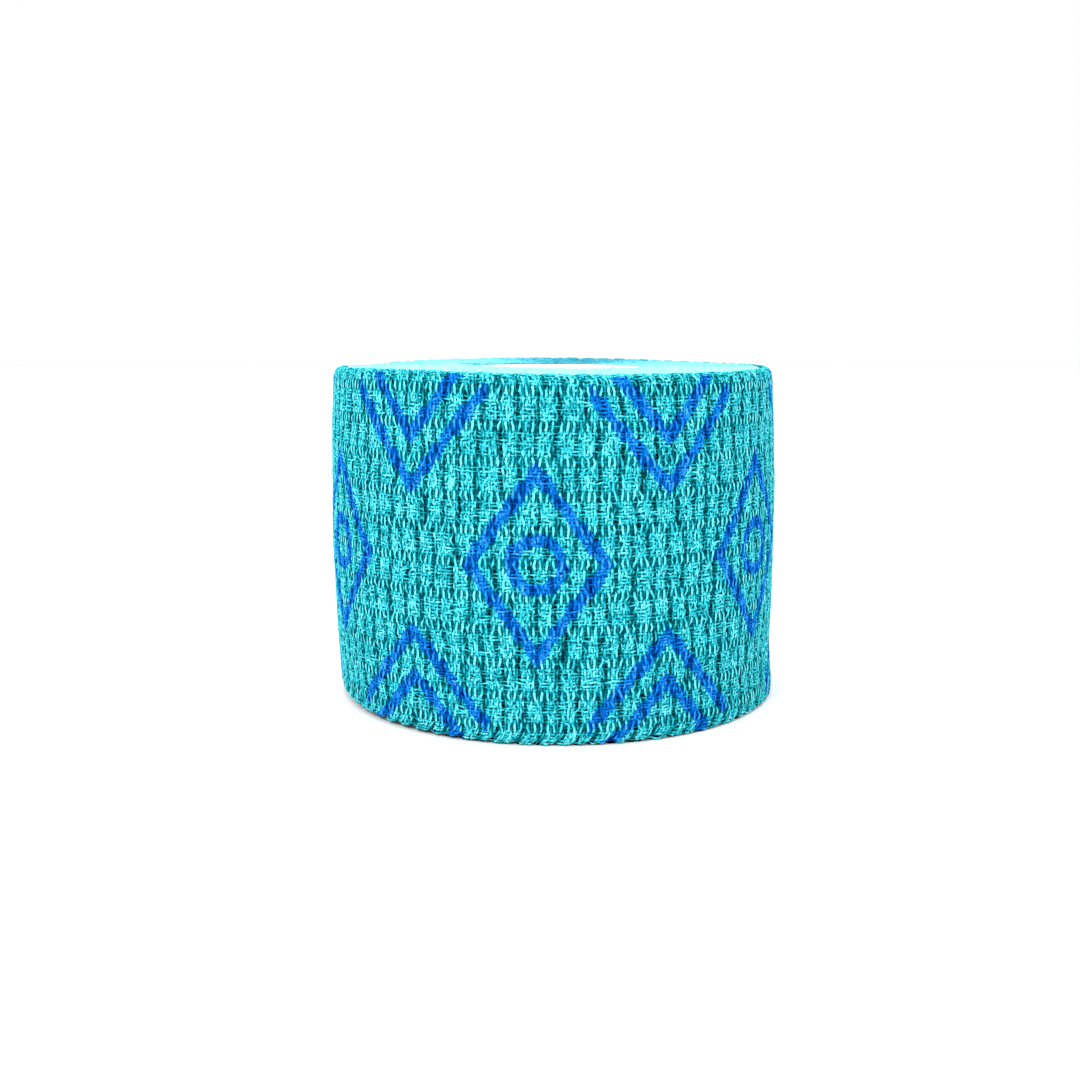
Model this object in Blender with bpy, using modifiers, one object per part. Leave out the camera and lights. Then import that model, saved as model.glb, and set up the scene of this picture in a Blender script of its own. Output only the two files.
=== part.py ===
"""Weightlifting tape roll: elastic woven tape wound on a stiff paperboard core, standing on one end.

Two pieces, as the maker has them: the tape, cut to its width and wound up tight, and the core tube
that it is wound on. The wound tape is one solid of its wound form. Its side is slightly barrelled,
because the cloth swells at the middle and is drawn in at its cut edges. Both rims are rounded over,
and the radius grows by one thickness of tape over the last turn, so that the tape's outer end
stands as a low step at the back. The weave, the puckers and the single turns are not modelled here.

Units are metres and +Z is up. The origin is at the middle of the base, on the roll's axis.
"""

import math

import bmesh
import bpy

# The tape, wound up.
TAPE_WIDTH = 0.0500  # 50 mm tape, the roll's height as it stands on its end
TAPE_THICKNESS = 0.00095  # one turn of the puckered cloth with its adhesive
MIDDLE_RADIUS = 0.03430  # the widest place, half way up
FOOT_DRAW_IN = 0.00070  # how much smaller the radius is at the foot
HEAD_DRAW_IN = 0.00090  # the same at the head
RIM_ROUND = 0.00150  # the cut edges of the outer turn bend inwards by this radius
TAPE_END_ANGLE = math.radians(112.0)  # the tape's outer end, at the back

# The core tube.
CORE_BORE_RADIUS = 0.0127  # the usual 1 inch core
CORE_WALL = 0.0013
CORE_FOOT_GAP = 0.0005  # the core ends this far inside the tape's foot
CORE_HEAD_GAP = 0.00035  # and this far inside its head
CORE_LIP = 0.0003  # the tube's cut edges are broken by this much
WINDING_GAP = 0.0003  # between the core and the first turn

# How finely the round shapes are divided.
ROLL_STEPS = 96
CORE_STEPS = 64
BARREL_STEPS = 8
RIM_STEPS = 3
MERGE_DISTANCE = 0.00005
CREASE_ANGLE = math.radians(40.0)

CORE_OUTER_RADIUS = CORE_BORE_RADIUS + CORE_WALL
TAPE_BORE_RADIUS = CORE_OUTER_RADIUS + WINDING_GAP


def clear_scene():
    """Remove every object that the scene holds."""
    for old in list(bpy.data.objects):
        bpy.data.objects.remove(old, do_unlink=True)


def new_collection(name):
    """Make a collection of that name in the scene."""
    collection = bpy.data.collections.new(name)
    bpy.context.scene.collection.children.link(collection)
    return collection


def principled(name, colour, roughness, metallic=0.0):
    """Make a material from a linear colour, a roughness and a metallic value."""
    material = bpy.data.materials.new(name)
    material.use_nodes = True
    shader = material.node_tree.nodes["Principled BSDF"]
    shader.inputs["Base Color"].default_value = (*colour, 1.0)
    shader.inputs["Roughness"].default_value = roughness
    shader.inputs["Metallic"].default_value = metallic
    material.diffuse_color = (*colour, 1.0)
    return material


def barrel_radius(height):
    """Radius of the outer turn: a parabola on each side of the widest place, half way up."""
    from_middle = 2.0 * height / TAPE_WIDTH - 1.0
    draw_in = HEAD_DRAW_IN if from_middle > 0.0 else FOOT_DRAW_IN
    return MIDDLE_RADIUS - draw_in * from_middle**2


def rim_arc(corner_radius, height, first, last):
    """Points of a quarter circle inside the corner of the barrel and an end face, first to last angle."""
    inward = -1.0 if height > TAPE_WIDTH / 2.0 else 1.0
    centre_x = corner_radius - RIM_ROUND
    centre_z = height + inward * RIM_ROUND
    points = []
    for step in range(RIM_STEPS + 1):
        angle = first + (last - first) * step / RIM_STEPS
        x = centre_x + RIM_ROUND * math.cos(angle)
        z = centre_z + RIM_ROUND * math.sin(angle)
        points.append((x, z))
    return points


def tape_profile():
    """Half section of the wound tape: in at the head, over the rim, down the barrel and back at the foot."""
    head = rim_arc(barrel_radius(TAPE_WIDTH - RIM_ROUND), TAPE_WIDTH, math.pi / 2.0, 0.0)
    foot = rim_arc(barrel_radius(RIM_ROUND), 0.0, 0.0, -math.pi / 2.0)
    barrel = []
    for step in range(1, BARREL_STEPS):
        height = TAPE_WIDTH - RIM_ROUND - (TAPE_WIDTH - 2.0 * RIM_ROUND) * step / BARREL_STEPS
        barrel.append((barrel_radius(height), height))
    return [(TAPE_BORE_RADIUS, TAPE_WIDTH), *head, *barrel, *foot, (TAPE_BORE_RADIUS, 0.0)]


def core_profile():
    """Section of the core tube's wall, with its four cut edges broken."""
    low = CORE_FOOT_GAP
    high = TAPE_WIDTH - CORE_HEAD_GAP
    return [
        (CORE_BORE_RADIUS + CORE_LIP, high),
        (CORE_OUTER_RADIUS - CORE_LIP, high),
        (CORE_OUTER_RADIUS, high - CORE_LIP),
        (CORE_OUTER_RADIUS, low + CORE_LIP),
        (CORE_OUTER_RADIUS - CORE_LIP, low),
        (CORE_BORE_RADIUS + CORE_LIP, low),
        (CORE_BORE_RADIUS, low + CORE_LIP),
        (CORE_BORE_RADIUS, high - CORE_LIP),
    ]


def turned(name, profile, steps, material, collection):
    """Turn a closed section, given as (radius, height) points, into a ring with the Screw modifier."""
    mesh = bpy.data.meshes.new(name)
    points = [(x, 0.0, z) for x, z in profile]
    edges = [(i, (i + 1) % len(points)) for i in range(len(points))]
    mesh.from_pydata(points, edges, [])
    mesh.materials.append(material)
    ring = bpy.data.objects.new(name, mesh)
    collection.objects.link(ring)
    screw = ring.modifiers.new("Turn", "SCREW")
    screw.axis = "Z"
    screw.angle = math.tau
    screw.steps = steps
    screw.render_steps = steps
    screw.use_merge_vertices = True
    screw.merge_threshold = MERGE_DISTANCE
    screw.use_smooth_shade = True
    return ring


def made_mesh(ring):
    """Swap an object's profile for the mesh that its modifiers make."""
    depsgraph = bpy.context.evaluated_depsgraph_get()
    mesh = bpy.data.meshes.new_from_object(ring.evaluated_get(depsgraph))
    mesh.name = ring.name
    ring.modifiers.clear()
    ring.data = mesh


def turn_growth(x, y):
    """How far the last turn has grown at (x, y): half a thickness under the mean to half over it."""
    past_end = (math.atan2(y, x) - TAPE_END_ANGLE) % math.tau
    return TAPE_THICKNESS * (past_end / math.tau - 0.5)


def wind_last_turn(ring):
    """Move the outer side out along its radius by the last turn's growth, and leave the bore round.

    The growth fades in from the bore to the foot of the rim, so that the end faces stay flat.
    """
    inner = TAPE_BORE_RADIUS
    outer = MIDDLE_RADIUS - FOOT_DRAW_IN - RIM_ROUND
    mesh = bmesh.new()
    mesh.from_mesh(ring.data)
    for vertex in mesh.verts:
        x, y, _ = vertex.co
        radius = math.hypot(x, y)
        share = min(max((radius - inner) / (outer - inner), 0.0), 1.0)
        scale = 1.0 + share * turn_growth(x, y) / radius
        vertex.co.x = x * scale
        vertex.co.y = y * scale
    mesh.to_mesh(ring.data)
    mesh.free()


def smooth(ring):
    """Shade the round faces smooth and keep the edges of the end faces sharp."""
    ring.data.shade_smooth()
    ring.data.set_sharp_from_angle(angle=CREASE_ANGLE)


def build_tape(collection):
    """The wound tape: turned barrel, rounded rims and the step of its outer end."""
    cotton = principled("elastic_cotton_tape", (0.03, 0.43, 0.50), 0.90)
    tape = turned("tape_roll", tape_profile(), ROLL_STEPS, cotton, collection)
    made_mesh(tape)
    wind_last_turn(tape)
    smooth(tape)
    return tape


def build_core(collection):
    """The white paperboard tube that the tape is wound on."""
    board = principled("white_core_board", (0.80, 0.80, 0.78), 0.70)
    core = turned("core_tube", core_profile(), CORE_STEPS, board, collection)
    made_mesh(core)
    smooth(core)
    return core


def build():
    """Build the roll: the tape and, inside it, the core."""
    clear_scene()
    collection = new_collection("weightlifting_tape_roll")
    build_tape(collection)
    build_core(collection)


build()
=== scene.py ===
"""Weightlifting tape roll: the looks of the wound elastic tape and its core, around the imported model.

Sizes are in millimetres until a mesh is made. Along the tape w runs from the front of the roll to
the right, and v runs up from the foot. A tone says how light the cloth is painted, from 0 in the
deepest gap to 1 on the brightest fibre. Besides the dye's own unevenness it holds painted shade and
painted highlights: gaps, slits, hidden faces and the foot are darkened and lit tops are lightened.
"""

import math

import bpy
import numpy as np
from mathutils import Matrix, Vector


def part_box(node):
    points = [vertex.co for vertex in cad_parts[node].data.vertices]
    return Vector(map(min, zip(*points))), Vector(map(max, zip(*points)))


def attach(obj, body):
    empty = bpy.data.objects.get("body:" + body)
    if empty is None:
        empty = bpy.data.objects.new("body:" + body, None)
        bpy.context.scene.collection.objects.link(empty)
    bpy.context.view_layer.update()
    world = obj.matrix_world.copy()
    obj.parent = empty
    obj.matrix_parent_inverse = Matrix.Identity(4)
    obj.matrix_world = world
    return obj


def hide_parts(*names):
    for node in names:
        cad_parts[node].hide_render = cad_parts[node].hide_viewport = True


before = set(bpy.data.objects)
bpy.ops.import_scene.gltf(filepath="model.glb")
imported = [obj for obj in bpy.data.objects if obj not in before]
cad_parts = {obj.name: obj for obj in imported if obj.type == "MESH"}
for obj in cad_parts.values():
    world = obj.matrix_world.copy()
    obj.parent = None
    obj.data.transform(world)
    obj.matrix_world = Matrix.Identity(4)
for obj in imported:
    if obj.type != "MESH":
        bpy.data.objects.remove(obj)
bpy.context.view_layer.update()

# ----------------------------------------------------------------------------------------------
# Core tube. The paperboard tube the tape is wound on: white strips of board wound in a spiral and
# glued, cut square at both ends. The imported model's tube is kept, and takes the board's material.

MM = 0.001
BOARD_STRIP = 26.0
BOARD_ROUGHNESS = 0.75
BOARD_SPECULAR = 0.25
PULP_CLOUDS = 0.9  # in each millimetre
PULP_DETAIL = 4.0
SEAM_SHARE = 0.012  # the seam's width, as a share of the strip's
SEAM_TONE = -0.5


def linear(hex_colour):
    """Linear colour of an sRGB hex value such as "2f9fd0", by the sRGB curve."""
    values = [int(hex_colour[i : i + 2], 16) / 255.0 for i in (0, 2, 4)]
    return [v / 12.92 if v <= 0.04045 else ((v + 0.055) / 1.055) ** 2.4 for v in values]


def add_node(tree, kind, links=(), stops=(), **settings):
    """Add a node, with settings as its properties and stops as a ramp's (place, hex colour) pairs.

    Links are its inputs, in their order or as {name: input}. Each is a value, an output to join, or
    a node whose first output is joined.
    """
    node = tree.nodes.new(kind)
    for key, value in settings.items():
        setattr(node, key, value)
    for socket, value in links.items() if isinstance(links, dict) else enumerate(links):
        if isinstance(value, bpy.types.Node):
            value = value.outputs[0]
        if isinstance(value, bpy.types.NodeSocket):
            tree.links.new(value, node.inputs[socket])
        else:
            node.inputs[socket].default_value = value
    if stops:
        elements = node.color_ramp.elements
        while len(elements) < len(stops):
            elements.new(0.5)
        for element, (place, colour) in zip(elements, stops):
            element.position = place
            element.color = (*linear(colour), 1.0)
    return node


def new_material(name, roughness, specular):
    """A material with its Principled shader: (material, tree, shader)."""
    material = bpy.data.materials.new(name)
    material.use_nodes = True
    tree = material.node_tree
    shader = tree.nodes["Principled BSDF"]
    shader.inputs["Roughness"].default_value = roughness
    shader.inputs["Specular IOR Level"].default_value = specular
    return material, tree, shader


# White core board: matt and nearly white, clouded by pulp, with the strip's grey spiral seam.
board, tree, shader = new_material("white_core_board", BOARD_ROUGHNESS, BOARD_SPECULAR)
place = add_node(tree, "ShaderNodeTexCoord").outputs["Object"]
pulp = add_node(
    tree,
    "ShaderNodeTexNoise",
    {"Vector": place, "Scale": PULP_CLOUDS / MM, "Detail": PULP_DETAIL},
)
axes = add_node(tree, "ShaderNodeSeparateXYZ", {"Vector": place}).outputs
angle = add_node(tree, "ShaderNodeMath", (axes["Y"], axes["X"]), operation="ARCTAN2")
climb = add_node(tree, "ShaderNodeMath", (axes["Z"], BOARD_STRIP * MM), operation="DIVIDE")
turns = add_node(
    tree, "ShaderNodeMath", (angle, 1.0 / math.tau, climb), operation="MULTIPLY_ADD"
)
spiral = add_node(tree, "ShaderNodeMath", (turns,), operation="FRACT")
seam = add_node(tree, "ShaderNodeMath", (spiral, SEAM_SHARE), operation="LESS_THAN")
shade = add_node(tree, "ShaderNodeMath", (seam, SEAM_TONE, pulp), operation="MULTIPLY_ADD")
board_stops = ((0.0, "b9b9b4"), (0.3, "e6e6e3"), (0.7, "f8f8f6"))
board_colour = add_node(tree, "ShaderNodeValToRGB", (shade,), board_stops)
tree.links.new(board_colour.outputs["Color"], shader.inputs["Base Color"])
core_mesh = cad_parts["core_tube"].data
core_mesh.materials.clear()
core_mesh.materials.append(board)

# ----------------------------------------------------------------------------------------------
# Inner turns. The part of the tape under its last turn: one long ribbon wound from the core out,
# seen only by its cut edges, which stand a little proud beside the core at the left.

tape_low, tape_high = (np.array(corner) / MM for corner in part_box("tape_roll"))
core_low, core_high = (np.array(corner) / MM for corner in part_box("core_tube"))
TAPE_WIDTH = tape_high[2] - tape_low[2]
ROLL_RADIUS = float((tape_high - tape_low)[:2].mean()) / 2.0
CORE_RADIUS = float((core_high - core_low)[:2].mean()) / 2.0
TURN_PITCH = 0.95  # one turn with its puckers and adhesive
TAPE_END = math.radians(112.0)  # the way round from +X to the tape's outer end
FRONT = math.radians(-90.0)
OVERLAP = 2.5  # how far the last turn begins under its own end
TURN_GAP = 0.3  # along the tape, between the inner ribbon and the last turn
INNER_HALF_THICK = 0.35
INNER_SINK = 0.13  # how much the ribbon's first turn is pressed in
CORE_ROOM = 0.45  # between the core and the ribbon's last turn
RIB = 2.75  # from one pucker to the next, along the tape
INNER_STEP = RIB / 3.5
EDGE_WAVE = 0.12  # the ribbon's waves, one to a pucker, and how their pace drifts
EDGE_WAVE_DRIFT = 1.3
EDGE_WAVE_DRIFT_PACE = 11.0
EDGE_FLUTTER = 0.05
EDGE_FLUTTER_PACE = 3.7
EDGE_WAVE_FADE = 0.05  # share of the way in over which they begin
EDGE_SWELL = 0.05  # long swells of the upper edge, and short ripples on them
EDGE_SWELL_PACES = (13.0, 41.0)
EDGE_RIPPLE = 0.03
EDGE_RIPPLE_PACE = 4.3
EDGE_SLANT = 0.20  # the cut leaves the outer face this much lower
EDGE_BAND = 3.0  # the painted highlight at the head and the painted shadow at the foot each fade over this height
HEAD_DRAW_IN = 0.90  # how much less the radius is at the head and the foot than halfway up
FOOT_DRAW_IN = 0.70
TUCKED = 1.3  # the first turn's edge lies this much lower, under the curl
TUCK_FADE = (0.7, 1.3)  # turns in, from where it is tucked to where it isn't
FOOT_CLEAR = 0.05
FOOT_UNEVEN = 0.04
FOOT_UNEVEN_PACE = 9.0
FOOT_LIFT = 0.9
FOOT_FOLLOW = 0.8  # share of the last turn's lift that the turns under it follow
FOOT_FOLLOW_TURNS = 4.0
SKEW = 0.22  # how far the roll leans to the left, from its foot to its head
INNER_TONE = 0.7

# Rises and dips round the head, a row for each: (height, way round in degrees, spread).
RIM_HUMPS = (
    (0.45, -126.0, 0.36),
    (0.15, 80.0, 0.6),
    (-0.42, 158.0, 0.2),
    (-0.28, 38.0, 0.35),
)
CORE_HUMPS = (
    (0.46, 190.0, 0.85),
    (-0.30, 80.0, 1.0),
)
# Painted shade on the inner edge, in rows of the same kind: its tone is darker at the back, where the
# edges seen from the front lie in shadow.
BACK_EDGE_SHADE = ((-0.4, 80.0, 0.45),)

PRINT_REPEAT = 37.0
PRINT_SHIFT = 20.5
STROKE_HALF = 0.86
STROKE_UNEVEN = 0.16
STROKE_UNEVEN_SIZE = 6.0
STROKE_SEED = 6.0
STROKE_SOFT = 0.12
LOZENGE_HALF_WIDE = 9.5
LOZENGE_HALF_TALL = 12.5
RING_RADIUS = 3.4
CHEVRON_STEEP = 1.1  # rise of an arm for each millimetre along the tape
CHEVRON_TIPS = (10.0, 16.5)  # from the middle of the tape's width to the two points
CHEVRON_REACH = 11.5
OUT_OF_REACH = 9.0
PRINT_FADE = (0.6, 0.1)  # from the cut edge, where the print fades and where it is gone

COTTON_ROUGHNESS = 0.9
COTTON_SPECULAR = 0.04
FIBRE_SPOTS = 1.5  # in each millimetre, drawn much coarser than single fibres so that they show
FIBRE_DETAIL = 3.0
FIBRE_CONTRAST = 0.7
FIBRE_BUMP = 0.5
FIBRE_RELIEF = 0.08
HAIRS = (2.6, 1.15, 1.0)  # in each millimetre along the tape and up it, in tufts that show
HAIR_DETAIL = 2.0
HAIR_BEND = 0.6
NOISE_SPAN = {"From Min": 0.35, "From Max": 0.65}

UV_STRIPS = 0.85  # share of a UV row's height that the strips of its tubes take
UV_RUN = 0.96  # share of its length
UV_END_ROW = 0.92  # the end faces' height in it, their places along it and half sizes
UV_END_PLACES = (0.15, 0.55)
UV_END_WIDE = 0.05
UV_END_TALL = 0.04
UV_LONE_TUBE = 10  # how much narrower they are in the long row of a lone tube

# Waves of slow unevenness, a row for each: (length as a share of the whole size, turn, start).
WAVES = (
    (0.80, 1.1, 0.0),
    (1.05, 3.2, 1.9),
    (1.30, 5.3, 3.8),
)
SEED_TURN = 0.7
SEED_START = 2.7


def smooth_step(low, high, x):
    """0 below low, 1 above high, and the cubic 3t^2 - 2t^3 between."""
    t = np.clip((x - low) / (high - low), 0.0, 1.0)
    return t * t * (3.0 - 2.0 * t)


def waver(w, v, size, seed):
    """Slow unevenness from -1 to 1: the mean of plane waves of about the given wavelength.

    Each wave is a sine of the way along its own direction. The seed turns and shifts them all.
    """
    total = 0.0
    for share, turn, start in WAVES:
        turn = turn + SEED_TURN * seed
        way = w * math.cos(turn) + v * math.sin(turn)
        total = total + np.sin(math.tau * way / (share * size) + start + SEED_START * seed)
    return total / len(WAVES)


def ink(w, v):
    """How much print covers the cloth at (w, v), from 0 to 1: open lozenges, rings and chevrons.

    Each figure is a line of nearly constant width: the points whose distance from a lozenge, a
    circle or a V is under half of that width. They repeat along the tape.
    """
    half_stroke = STROKE_HALF + STROKE_UNEVEN * waver(w, v, STROKE_UNEVEN_SIZE, STROKE_SEED)
    x = np.mod(w + PRINT_SHIFT, PRINT_REPEAT) - PRINT_REPEAT / 2.0
    y = v - TAPE_WIDTH / 2.0
    slant = math.hypot(1.0 / LOZENGE_HALF_WIDE, 1.0 / LOZENGE_HALF_TALL)
    lozenge = np.abs(x) / LOZENGE_HALF_WIDE + np.abs(y) / LOZENGE_HALF_TALL
    lozenge = np.abs(lozenge - 1.0) / slant
    ring = np.abs(np.hypot(x, y) - RING_RADIUS)
    beside = PRINT_REPEAT / 2.0 - np.abs(x)
    arm, outer_arm = (
        np.abs(np.abs(y) - tip - CHEVRON_STEEP * beside) / math.hypot(1.0, CHEVRON_STEEP)
        for tip in CHEVRON_TIPS
    )
    arm = np.where(beside < CHEVRON_REACH, arm, OUT_OF_REACH)
    nearest = np.minimum(np.minimum(lozenge, ring), np.minimum(arm, outer_arm))
    fade_start, fade_end = (TAPE_WIDTH - from_edge for from_edge in PRINT_FADE)
    printed = 1.0 - smooth_step(-STROKE_SOFT, STROKE_SOFT, nearest - half_stroke)
    return printed * (1.0 - smooth_step(fade_start, fade_end, v))


def cloth_material(name, dye_stops, ink_stops, fuzz=0.0):
    """Dyed cotton, printed where the "ink" attribute says, lighter with the "tone" attribute.

    The tone is spotted by fibre. Fuzz is how far the short upright hairs of the ground, laid by the
    "along" attribute, spread it.
    """
    material, tree, shader = new_material(name, COTTON_ROUGHNESS, COTTON_SPECULAR)
    place = add_node(tree, "ShaderNodeTexCoord").outputs["Object"]
    fibre = add_node(
        tree,
        "ShaderNodeTexNoise",
        {"Vector": place, "Scale": FIBRE_SPOTS / MM, "Detail": FIBRE_DETAIL},
    )
    tone = add_node(tree, "ShaderNodeAttribute", attribute_name="tone").outputs["Fac"]
    cover = add_node(tree, "ShaderNodeAttribute", attribute_name="ink").outputs["Fac"]
    spot = add_node(tree, "ShaderNodeMath", (fibre, 0.5), operation="SUBTRACT")
    level = add_node(tree, "ShaderNodeMath", (spot, FIBRE_CONTRAST, tone), operation="MULTIPLY_ADD")
    if fuzz:
        along = add_node(tree, "ShaderNodeAttribute", attribute_name="along").outputs["Vector"]
        tall = add_node(tree, "ShaderNodeMapping", {"Vector": along, "Scale": HAIRS})
        hairs = add_node(
            tree,
            "ShaderNodeTexNoise",
            {"Vector": tall, "Scale": 1.0, "Detail": HAIR_DETAIL, "Distortion": HAIR_BEND},
        )
        spread = add_node(
            tree,
            "ShaderNodeMapRange",
            {"Value": hairs, **NOISE_SPAN, "To Min": -fuzz, "To Max": fuzz},
        )
        level = add_node(tree, "ShaderNodeMath", (level, spread), operation="ADD")
    edge = add_node(tree, "ShaderNodeMapRange", {"Value": cover, **NOISE_SPAN})
    dye = add_node(tree, "ShaderNodeValToRGB", (level,), dye_stops)
    print_ink = add_node(tree, "ShaderNodeValToRGB", (level,), ink_stops)
    mix = add_node(
        tree, "ShaderNodeMix", {"Factor": edge, "A": dye, "B": print_ink}, data_type="RGBA"
    )
    tree.links.new(mix.outputs["Result"], shader.inputs["Base Color"])
    bump = add_node(
        tree,
        "ShaderNodeBump",
        {"Height": fibre, "Strength": FIBRE_BUMP, "Distance": FIBRE_RELIEF * MM},
    )
    tree.links.new(bump.outputs["Normal"], shader.inputs["Normal"])
    return material


def tubes(name, sections, material, layers, folds=1, per_row=1):
    """Mesh object of closed tubes from sections (tube, ring, corner, xyz) in millimetres.

    Quads join each ring to the next and one face closes each end. Layers are point attributes. The
    UV map gives each tube rows of its own, folds of them, with per_row tubes side by side in a row;
    each side is a strip of the row, and the two end faces lie in the margin above the strips.
    """
    count, rings, sides = sections.shape[:3]
    index = np.arange(count * rings * sides).reshape(count, rings, sides)
    after = np.roll(index, -1, axis=2)
    quads = np.stack([index[:, :-1], after[:, :-1], after[:, 1:], index[:, 1:]], axis=-1)
    ends = np.concatenate([index[:, 0, ::-1], index[:, -1]])
    loops = np.concatenate([quads.ravel(), ends.ravel()])
    totals = np.concatenate([np.full(quads.size // 4, 4), np.full(len(ends), sides)])
    starts = np.concatenate([[0], np.cumsum(totals)[:-1]])

    per_fold = math.ceil((rings - 1) / folds)
    row_count = math.ceil(count / per_row) * folds
    tube, ring, side = np.indices((count, rings - 1, sides))
    column = (tube % per_row)[..., None]
    row = (tube // per_row * folds + ring // per_fold)[..., None]
    step = (ring % per_fold)[..., None] + np.array([0, 0, 1, 1])
    strip = side[..., None] + np.array([0, 1, 1, 0])
    u = (column + UV_RUN * step / per_fold) / per_row
    v = (row + UV_STRIPS * strip / sides) / row_count
    quad_uv = np.stack([u, v], axis=-1).reshape(-1, 2)

    tube = np.tile(np.arange(count), 2)[:, None]
    closing = np.repeat(UV_END_PLACES, count)[:, None]
    turn = math.tau * np.arange(sides) / sides
    end_wide = UV_END_WIDE / (UV_LONE_TUBE if per_row == 1 else 1)
    u = (tube % per_row + closing + end_wide * np.cos(turn)) / per_row
    v = (tube // per_row * folds + UV_END_ROW + UV_END_TALL * np.sin(turn)) / row_count
    uv = np.concatenate([quad_uv, np.stack([u, v], axis=-1).reshape(-1, 2)])

    mesh = bpy.data.meshes.new(name)
    mesh.vertices.add(count * rings * sides)
    mesh.vertices.foreach_set("co", (sections * MM).astype(np.float32).ravel())
    mesh.loops.add(len(loops))
    mesh.loops.foreach_set("vertex_index", loops.astype(np.int32))
    mesh.polygons.add(len(starts))
    mesh.polygons.foreach_set("loop_start", starts.astype(np.int32))
    mesh.polygons.foreach_set("loop_total", totals.astype(np.int32))
    mesh.update(calc_edges=True)
    mesh.shade_smooth()
    for layer, values in layers.items():
        single = layer != "along"
        attribute = mesh.attributes.new(layer, "FLOAT" if single else "FLOAT_VECTOR", "POINT")
        values = np.ascontiguousarray(values, dtype=np.float32)
        attribute.data.foreach_set("value" if single else "vector", values.ravel())
    uv_map = mesh.uv_layers.new(name="OFBake")
    uv_map.data.foreach_set("uv", uv.astype(np.float32).ravel())
    mesh.materials.append(material)
    piece = bpy.data.objects.new(name, mesh)
    bpy.context.scene.collection.objects.link(piece)
    return piece


def join_roll(piece):
    """Fix a made piece to the roll in place of the plain wound solid."""
    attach(piece, "root")
    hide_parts("tape_roll")
    return piece


def wind(arc):
    """Where the inner ribbon is, arc millimetres in from its outer end: (angle, radius).

    The radius falls by a pitch each turn, so its square falls evenly with the length.
    """
    radius = np.sqrt(INNER_START**2 - arc * TURN_PITCH / math.pi)
    angle = INNER_ANGLE - math.tau * (INNER_START - radius) / TURN_PITCH
    return angle, radius


def humps(angle, rows):
    """Sum of bells round the roll: each is its height times e^((cos(angle - way) - 1) / spread^2)."""
    total = 0.0
    for height, way, spread in rows:
        total = total + height * np.exp((np.cos(angle - math.radians(way)) - 1.0) / spread**2)
    return total


def head_edge(arc):
    """Height of the inner ribbon's upper edge, uneven from place to place.

    Going inwards, it passes evenly from the humps of the rim to those beside the core. The first
    turn is tucked under the curled edge of the tape's last turn.
    """
    angle, radius = wind(arc)
    depth = INNER_START - radius
    inwards = depth / (INNER_START - CORE_RADIUS)
    rise = (1.0 - inwards) * humps(angle, RIM_HUMPS) + inwards * humps(angle, CORE_HUMPS)
    quick_pace, slow_pace = EDGE_SWELL_PACES
    uneven = EDGE_SWELL * np.sin(arc / quick_pace) * np.sin(arc / slow_pace)
    uneven = uneven + EDGE_RIPPLE * np.sin(arc / EDGE_RIPPLE_PACE + np.sin(arc))
    tuck_end, free_start = (turns * TURN_PITCH for turns in TUCK_FADE)
    tucked = TUCKED * (1.0 - smooth_step(tuck_end, free_start, depth))
    return TAPE_WIDTH + rise + uneven - tucked


def foot_lift(angle):
    """How far the foot stands off the floor: most at the roll's left side."""
    return FOOT_LIFT * np.clip(-np.cos(angle), 0.0, 1.0) ** 2


def barrel(z):
    """How far the roll is drawn in at a height: it grows with the square of the way from the middle."""
    from_middle = 2.0 * z / TAPE_WIDTH - 1.0
    return np.where(from_middle > 0.0, HEAD_DRAW_IN, FOOT_DRAW_IN) * from_middle**2


def inner_point(arc, side_out, z):
    """Point on the inner ribbon: half a thickness to the given side of its waved middle line."""
    angle, radius = wind(arc)
    inwards = (INNER_START - radius) / (INNER_START - CORE_RADIUS)
    drift = EDGE_WAVE_DRIFT * np.sin(arc / EDGE_WAVE_DRIFT_PACE)
    wave = EDGE_WAVE * np.sin(math.tau * arc / RIB + drift)
    wave = wave + EDGE_FLUTTER * np.sin(arc / EDGE_FLUTTER_PACE)
    wave = wave * smooth_step(0.0, EDGE_WAVE_FADE, inwards)
    radius = radius + side_out * INNER_HALF_THICK + wave - barrel(z) * (1.0 - inwards)
    x = radius * np.cos(angle) + SKEW * (1.0 - inwards) * (0.5 - z / TAPE_WIDTH)
    return np.stack([x, radius * np.sin(angle), z], axis=-1)


INNER_START = ROLL_RADIUS - TURN_PITCH - INNER_SINK
INNER_ANGLE = TAPE_END - (OVERLAP + TURN_GAP) / INNER_START
inner_stop = CORE_RADIUS + CORE_ROOM + INNER_HALF_THICK
inner_length = math.pi * (INNER_START**2 - inner_stop**2) / TURN_PITCH
arc = np.linspace(0.0, inner_length, int(inner_length / INNER_STEP))
way, radius = wind(arc)
top = head_edge(arc)
outermost = 1.0 - smooth_step(0.0, FOOT_FOLLOW_TURNS * TURN_PITCH, INNER_START - radius)
foot_edge = FOOT_CLEAR + FOOT_UNEVEN * (1.0 + np.sin(arc / FOOT_UNEVEN_PACE))
foot_edge = foot_edge + FOOT_FOLLOW * outermost * foot_lift(way)
# Painted shade: the inner edge's tone is darker towards the back of the roll.
inner_edge_shading = INNER_TONE + humps(way, BACK_EDGE_SHADE)

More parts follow.
